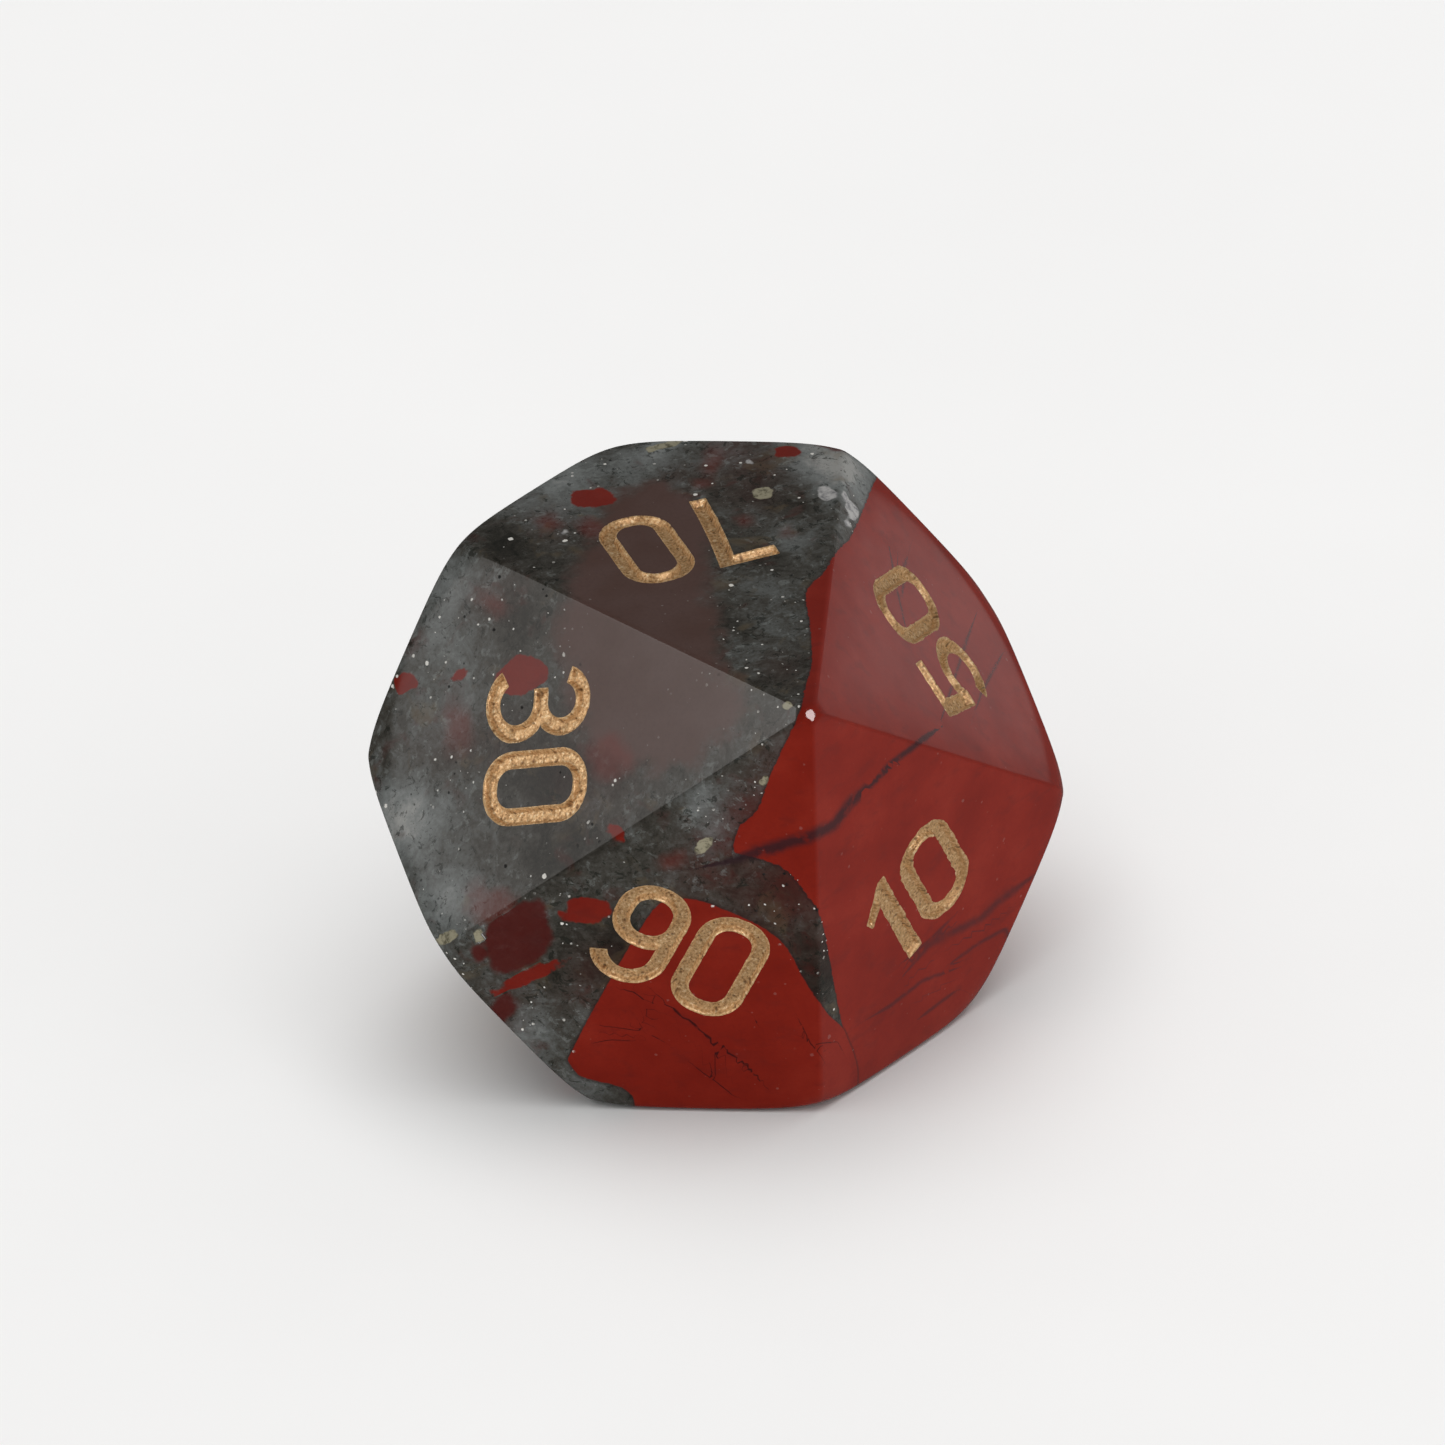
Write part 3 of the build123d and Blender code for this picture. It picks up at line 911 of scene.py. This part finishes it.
def stone_material():
    material, n = new_material("brecciated_jasper")
    place = n.millimetres()
    shake = n.vector("SUBTRACT", n.noise(place, 1.6, 3, 0.6, out="Color"), (0.5, 0.5, 0.5))
    rough_edge = n.math("SUBTRACT", n.noise(place, 4.5, 4, 0.65), 0.5)
    soft_edge = n.math("SUBTRACT", n.noise(place, 0.9, 3, 0.6), 0.5)
    red_field, clast_field, mauve_field = n.parts(n.attribute("regions").outputs["Vector"])
    tone = n.attribute("tone").outputs["Vector"]
    under = n.parts(tone)[2]

    surface = grey_stone(n, place, tone)
    mauve_edge = n.times_plus(soft_edge, 1.6, mauve_field)
    surface = n.mix(n.smooth(mauve_edge, -0.35, 0.45), surface, mauve_stone(n, place))

    # Unseen lower side: fragments of red in the grey, as in the rest of the stone.
    broken = n.vector("ADD", place, n.vector("SCALE", shake, scale=1.3))
    squeezed = n.vector("MULTIPLY", broken, (1, 0.8, 1.25))
    blocks, gaps = n.cells(squeezed, 0.24), n.cells(squeezed, 0.24, "DISTANCE_TO_EDGE")
    chosen = n.math("LESS_THAN", n.parts(blocks.outputs["Color"])[0], 0.36)
    block = n.times(n.smooth(gaps.outputs["Distance"], 0.06, 0.075), chosen)
    block = n.times(block, n.smooth(under, 1.5, 2.2))

    # Chips of other stone, with uneven edges; the faint ones are blurred, as if deeper down.
    gap, kind, dusty = n.parts(n.attribute("chip").outputs["Vector"])
    wander = n.math("SUBTRACT", n.noise(n.moved(place, (2, 5, 1)), 1.7, 2, 0.5), 0.5)
    gap = n.times_plus(rough_edge, 0.08, n.times_plus(wander, 0.30, gap))
    red = red_jasper(n, place, n.vector("MULTIPLY", place, (0.35, 1.6, 1.6)))
    darker = n.mix(0.76, red, (0.044, 0.012, 0.012))
    chip_red = n.mix(0.25, red, (0.10, 0.012, 0.010))
    faint_red = n.mix(0.35, red, (0.10, 0.020, 0.017))
    white = n.mix(n.smooth(rough_edge, -0.2, 0.1), (0.24, 0.24, 0.25), (0.60, 0.59, 0.58))
    pyrite = n.mix(n.smooth(rough_edge, -0.2, 0.05), (0.10, 0.09, 0.055), (0.40, 0.37, 0.26))
    for number, paint, strength, blur in (
        (RED, chip_red, 0.96, 0.03), (DARK_RED, darker, 0.90, 0.09), (FAINT_RED, faint_red, 0.42, 0.22),
        (WHITE, white, 0.92, 0.03), (PYRITE, pyrite, 0.95, 0.02),
    ):
        this_kind = n.math("COMPARE", kind, float(number), 0.3)
        share = n.times(n.times(n.smooth(gap, blur, -blur), this_kind), strength)
        surface = n.mix(share, surface, paint)

    # The two big red pieces, with thin dark skins where they meet the grey.
    surface = n.mix(n.times(block, 0.9), surface, darker)
    for field, fuzz in ((red_field, 0.16), (clast_field, 0.07)):
        edge = n.times_plus(rough_edge, fuzz, field)
        surface = n.mix(n.smooth(edge, -0.10, 0.0, 0.0, 0.65), surface, (0.035, 0.014, 0.014))
        surface = n.mix(n.smooth(edge, -0.015, 0.02), surface, red)
    in_red = n.math("MAXIMUM", n.smooth(red_field, 0, 0.1), n.smooth(clast_field, 0, 0.1))

    # Veins, streaks and cracks.
    across, away, line_kind = n.parts(n.attribute("line").outputs["Vector"])
    across = n.math("ABSOLUTE", n.times_plus(rough_edge, 0.8, across))
    beside = n.math("LESS_THAN", away, 0.5)
    broken_up = n.smooth(n.noise(place, 2.2, 3, 0.6), 0.28, 0.48, 0.45, 1.0)
    for number, shade, strength, wide, soft in (
        (VEIN, (0.034, 0.016, 0.020), 0.86, 1.5, 0.2),
        (STREAK, (0.070, 0.018, 0.021), 0.72, 1.5, 0.0),
        (CRACK, (0.022, 0.007, 0.008), 0.85, 0.95, 0.1),
    ):
        share = n.times(n.smooth(across, wide, soft), beside)
        share = n.times(share, n.math("COMPARE", line_kind, float(number), 0.3))
        surface = n.mix(n.times(n.times(share, broken_up), strength), surface, shade)

    # Dust of bright grains and dark pits, thick in the grey and thin in the red.
    shaken = n.vector("ADD", place, n.vector("SCALE", n.noise(place, 14, 2, 0.5, out="Color"), scale=0.06))
    cluster = n.times_plus(dusty, 0.8, n.noise(n.moved(place, (9, 2, 5)), 0.95, 3, 0.6))
    cluster = n.smooth(cluster, 0.52, 0.68)
    in_grey = n.math("SUBTRACT", 1.0, n.times(in_red, 0.94))
    in_grey = n.times(in_grey, n.smooth(mauve_edge, 0.5, -0.2, 0.12, 1.0))
    many = n.times(n.times(in_grey, cluster), n.smooth(gap, -0.05, 0.1))
    small = specks(n, shaken, 0.23, 0.050, 0.42, 1.7)
    large = specks(n, shaken, 0.80, 0.080, 0.45, 5.3)
    pits = specks(n, shaken, 0.30, 0.060, 0.50, 8.1)
    dust = n.math("MAXIMUM", n.times(small, many), n.times(large, in_grey))
    surface = n.mix(n.times(n.times(pits, many), 0.9), surface, (0.010, 0.010, 0.009))
    surface = n.mix(n.times(dust, 0.95), surface, (0.98, 0.96, 0.90))

    polish = n.times_plus(n.noise(place, 1.1, 3, 0.6), 0.06, 0.045)
    polish = n.times_plus(n.math("MAXIMUM", n.times(pits, many), dust), 0.25, polish)
    bumps = n.times_plus(dust, 0.35, n.times(n.noise(place, 0.7, 2, 0.5), 0.3))
    bump = n.add("ShaderNodeBump", {"Strength": 0.06, "Distance": 0.00004, "Height": bumps})
    n.finish("ShaderNodeBsdfPrincipled", {
        "Base Color": surface, "Roughness": polish, "IOR": 1.54, "Normal": bump.outputs[0],
    })
    return material


def paint_material():
    """Grainy gold paint: bright flakes in a brown binder, with brown pits."""
    material, n = new_material("gold_paint")
    place = n.millimetres()
    flakes = n.noise(place, 11, 3, 0.65)
    lumps = n.noise(place, 2.6, 3, 0.6)
    pit = n.attribute("pit").outputs["Fac"]
    gold = n.ramp(flakes, [
        (0.34, (0.30, 0.155, 0.066)), (0.46, (0.62, 0.375, 0.175)), (0.58, (0.78, 0.53, 0.275)),
        (0.70, (1.0, 0.84, 0.58)),
    ])
    gold = n.mix(n.smooth(lumps, 0.35, 0.70, 0.0, 0.35), gold, (0.55, 0.32, 0.14))
    spots = specks(n, place, 0.26, 0.05, 0.35, 3.3)
    stain = n.math("MAXIMUM", n.times(spots, 0.7), n.smooth(pit, 0.3, 0.9))
    gold = n.mix(n.times(stain, 0.8), gold, (0.16, 0.075, 0.03))
    rough = n.times_plus(n.noise(place, 16, 2, 0.6), 0.30, 0.22)
    bump = n.add("ShaderNodeBump", {"Strength": 0.6, "Distance": 0.00003, "Height": flakes})
    n.finish("ShaderNodeBsdfPrincipled", {
        "Base Color": gold, "Metallic": 0.42, "Roughness": rough, "Normal": bump.outputs[0],
    })
    return material


def floor_material():
    material, n = new_material("pale_floor")
    place = n.add("ShaderNodeTexCoord").outputs["Object"]
    tone = n.ramp(n.noise(place, 40, 3, 0.6), [(0.3, (0.86, 0.86, 0.86)), (0.7, (0.88, 0.88, 0.88))])
    n.finish("ShaderNodeBsdfPrincipled", {"Base Color": tone, "Roughness": 0.9, "Specular IOR Level": 0.0})
    return material


# -------- camera, floor and light

CAMERA_AZIMUTH = math.radians(-18.23)
CAMERA_ELEVATION = math.radians(32.39)
CAMERA_ROLL = math.radians(4.135)
CAMERA_DISTANCE = 567.0
CAMERA_LENS = 447.5
AIM_RIGHT = 0.19
AIM_UP = 1.62


def make_camera():
    a, e, roll = CAMERA_AZIMUTH, CAMERA_ELEVATION, CAMERA_ROLL
    back = np.array([math.sin(a) * math.cos(e), -math.cos(a) * math.cos(e), math.sin(e)])
    level = np.array([math.cos(a), math.sin(a), 0.0])
    upright = np.cross(back, level)
    right = math.cos(roll) * level - math.sin(roll) * upright
    up = math.cos(roll) * upright + math.sin(roll) * level
    eye = CENTRE + CAMERA_DISTANCE * back
    aim = CENTRE + AIM_RIGHT * right + AIM_UP * up
    back = (eye - aim) / np.linalg.norm(eye - aim)
    right = np.cross(up, back)
    right /= np.linalg.norm(right)
    up = np.cross(back, right)
    data = bpy.data.cameras.new("camera")
    data.lens = CAMERA_LENS
    data.sensor_width = 36
    data.clip_start = 0.01
    data.clip_end = 10
    camera = bpy.data.objects.new("camera", data)
    turn = Matrix(np.stack([right, up, back], 1).tolist()).to_4x4()
    camera.matrix_world = Matrix.Translation(Vector(eye * MM)) @ turn
    bpy.context.scene.collection.objects.link(camera)
    bpy.context.scene.camera = camera
    return eye


def make_floor():
    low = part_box("stone_body")[0].z / MM - 0.01
    half = 2000.0
    corners = [(-half, -half, low), (half, -half, low), (half, half, low), (-half, half, low)]
    floor = new_object("floor", corners, [(0, 1, 2, 3)])
    floor.data.materials.append(floor_material())
    floor.visible_glossy = False
    return floor


def make_world():
    """Pale surroundings that light the stone evenly, and look dim in its polish."""
    world = bpy.data.worlds.new("studio")
    world.use_nodes = True
    bpy.context.scene.world = world
    n = Nodes(world.node_tree)
    path = n.add("ShaderNodeLightPath").outputs
    direction = n.parts(n.add("ShaderNodeTexCoord").outputs["Generated"])
    polish = n.smooth(direction[0], -0.6, 0.9, 0.03, 0.19)
    polish = n.times(polish, n.smooth(direction[2], -0.50, -0.16, 0.80, 0.50))
    level = n.times_plus(path["Is Camera Ray"], WORLD_SEEN - WORLD_LIGHT, WORLD_LIGHT)
    level = n.mix(path["Is Glossy Ray"], level, polish)
    background = {"Color": (1, 0.99, 0.975, 1), "Strength": level}
    n.finish("ShaderNodeBackground", background, "ShaderNodeOutputWorld")


def softbox(name, place, aim, width, height, radiance, lit_only=(), in_polish=True, tint=(1, 1, 1)):
    """A rectangular light of a given brightness, turned to face the aim."""
    light = bpy.data.lights.new(name, "AREA")
    light.shape = "RECTANGLE"
    light.size, light.size_y = width * MM, height * MM
    light.energy = radiance * math.pi * light.size * light.size_y
    light.color = tint
    made = bpy.data.objects.new(name, light)
    place, aim = Vector(place) * MM, Vector(aim) * MM
    made.location = place
    made.rotation_mode = "QUATERNION"
    made.rotation_quaternion = (aim - place).to_track_quat("-Z", "Y")
    made.visible_camera = False
    made.visible_glossy = in_polish
    bpy.context.scene.collection.objects.link(made)
    if lit_only:
        group = bpy.data.collections.new(name + "_lights")
        for lit in lit_only:
            group.objects.link(lit)
        made.light_linking.receiver_collection = group


def card(name, corners, glow, radiance, tint=(1, 1, 1)):
    """A glowing card that is only seen in the polish. Its corners run in rows; glow is per row."""
    rows = len(glow)
    points = [np.array(c0) + (np.array(c1) - c0) * s for c0, c1 in corners for s in (0, 1)]
    polygons = [(2 * r, 2 * r + 1, 2 * r + 3, 2 * r + 2) for r in range(rows - 1)]
    made = new_object(name, points, polygons)
    set_attribute(made.data, "glow", np.repeat(glow, 2))
    material, n = new_material(name)
    strength = n.times(n.attribute("glow").outputs["Fac"], radiance)
    n.finish("ShaderNodeEmission", {"Color": (*tint, 1), "Strength": strength})
    made.data.materials.append(material)
    made.visible_camera = False
    made.visible_diffuse = False
    made.visible_shadow = False


def chart_point(face, x, y):
    """The point of a face at a place on the chart."""
    flat = x * ACROSS + y * ALONG
    height = (INRADIUS - flat @ face.normal) / (AXIS @ face.normal)
    return CENTRE + flat + height * AXIS


def seen_in(face, eye, point, distance):
    """Where a ray from the eye goes after it meets the face at a point."""
    gap = (eye - face.origin) @ face.normal
    image = eye - 2 * gap * face.normal
    way = point - image
    return point + way / np.linalg.norm(way) * distance


# Directions from the die's middle to the lights
TO_KEY = np.array([0.762, -0.622, 0.18])
TO_FRONT = np.array([0.264, -0.79, 0.555])
TO_SIDE = np.array([-0.84, -0.06, 0.33])
TO_LOW = np.array([-0.42, -0.90, -0.02])


def make_lights(floor, paints, eye):
    softbox("floor_wash", (0, 0, 900), (0, 0, 0), 900, 900, 2.1, [floor], in_polish=False)
    softbox("key", CENTRE + TO_KEY * 500, CENTRE, 260, 200, 1.8, in_polish=False)
    # The gold is brighter than the stone for its place, so three lights fall on the paint alone.
    softbox("paint_key", CENTRE + TO_FRONT * 450, CENTRE, 240, 200, 2.2, paints, tint=(1.0, 0.98, 0.95))
    softbox("paint_side", CENTRE + TO_SIDE * 380, CENTRE, 240, 240, 2.3, paints, tint=(1.0, 0.96, 0.92))
    softbox("paint_low", CENTRE + TO_LOW * 420, CENTRE, 260, 160, 1.5, paints, in_polish=False)
    # What the polish shows: a window on the left, a pale wall on the right that fades at its foot, and
    # a small lamp close to the point, which only the blunt point and the edges near it reflect.
    left = FACES[30]
    rows = [((-13, 12), (-13, -9)), ((-4, 13), (-4, -9)), ((4, 14), (4, -9))]
    card("window", [[seen_in(left, eye, chart_point(left, *p), 260) for p in row] for row in rows],
         (0.95, 1.0, 2.8), 0.80, (1.0, 0.975, 0.95))
    right = FACES[50]
    rows = [((1.15, -0.55), (13, -5.0)), ((1.2, -0.05), (13, -4.6)), ((1.22, 0.35), (13, -4.1)),
            ((1.35, 0.95), (13, -3.5)), ((2.0, 1.9), (13, -1.2)), ((6.2, 8.0), (16, 5))]
    card("pale_wall", [[seen_in(right, eye, chart_point(right, *p), 200) for p in row] for row in rows],
         (0, 0.13, 0.55, 1, 1, 1), 0.455, (1, 0.97, 0.96))
    side = np.cross(TO_FRONT, (0, 0, 1))
    side /= np.linalg.norm(side)
    rise = np.cross(side, TO_FRONT)
    middle = CENTRE + (POINT_HEIGHT - POINT_BLUNTING) * AXIS + TO_FRONT * 12
    rows = [(middle - 1.5 * side + 3.1 * k * rise, middle + 1.5 * side + 3.1 * k * rise) for k in (-1, 1)]
    card("lamp", rows, (1, 1), 11.0, (1, 0.95, 0.95))


# -------- build it all

stone = make_stone()
add_pattern(stone.data)
stone.data.materials.clear()
stone.data.materials.append(stone_material())
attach(stone, "root")
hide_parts("stone_body")

gold = paint_material()
paints = []
for seed, (node, face) in enumerate(numeral_nodes()):
    paint = make_paint(node, face, 100 + 10 * seed)
    paints.append(paint)
    paint.data.materials.append(gold)
    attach(paint, "root")
    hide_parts(node)

eye = make_camera()
floor = make_floor()
make_world()
make_lights(floor, paints, eye)
bpy.context.scene.view_settings.view_transform = "Standard"
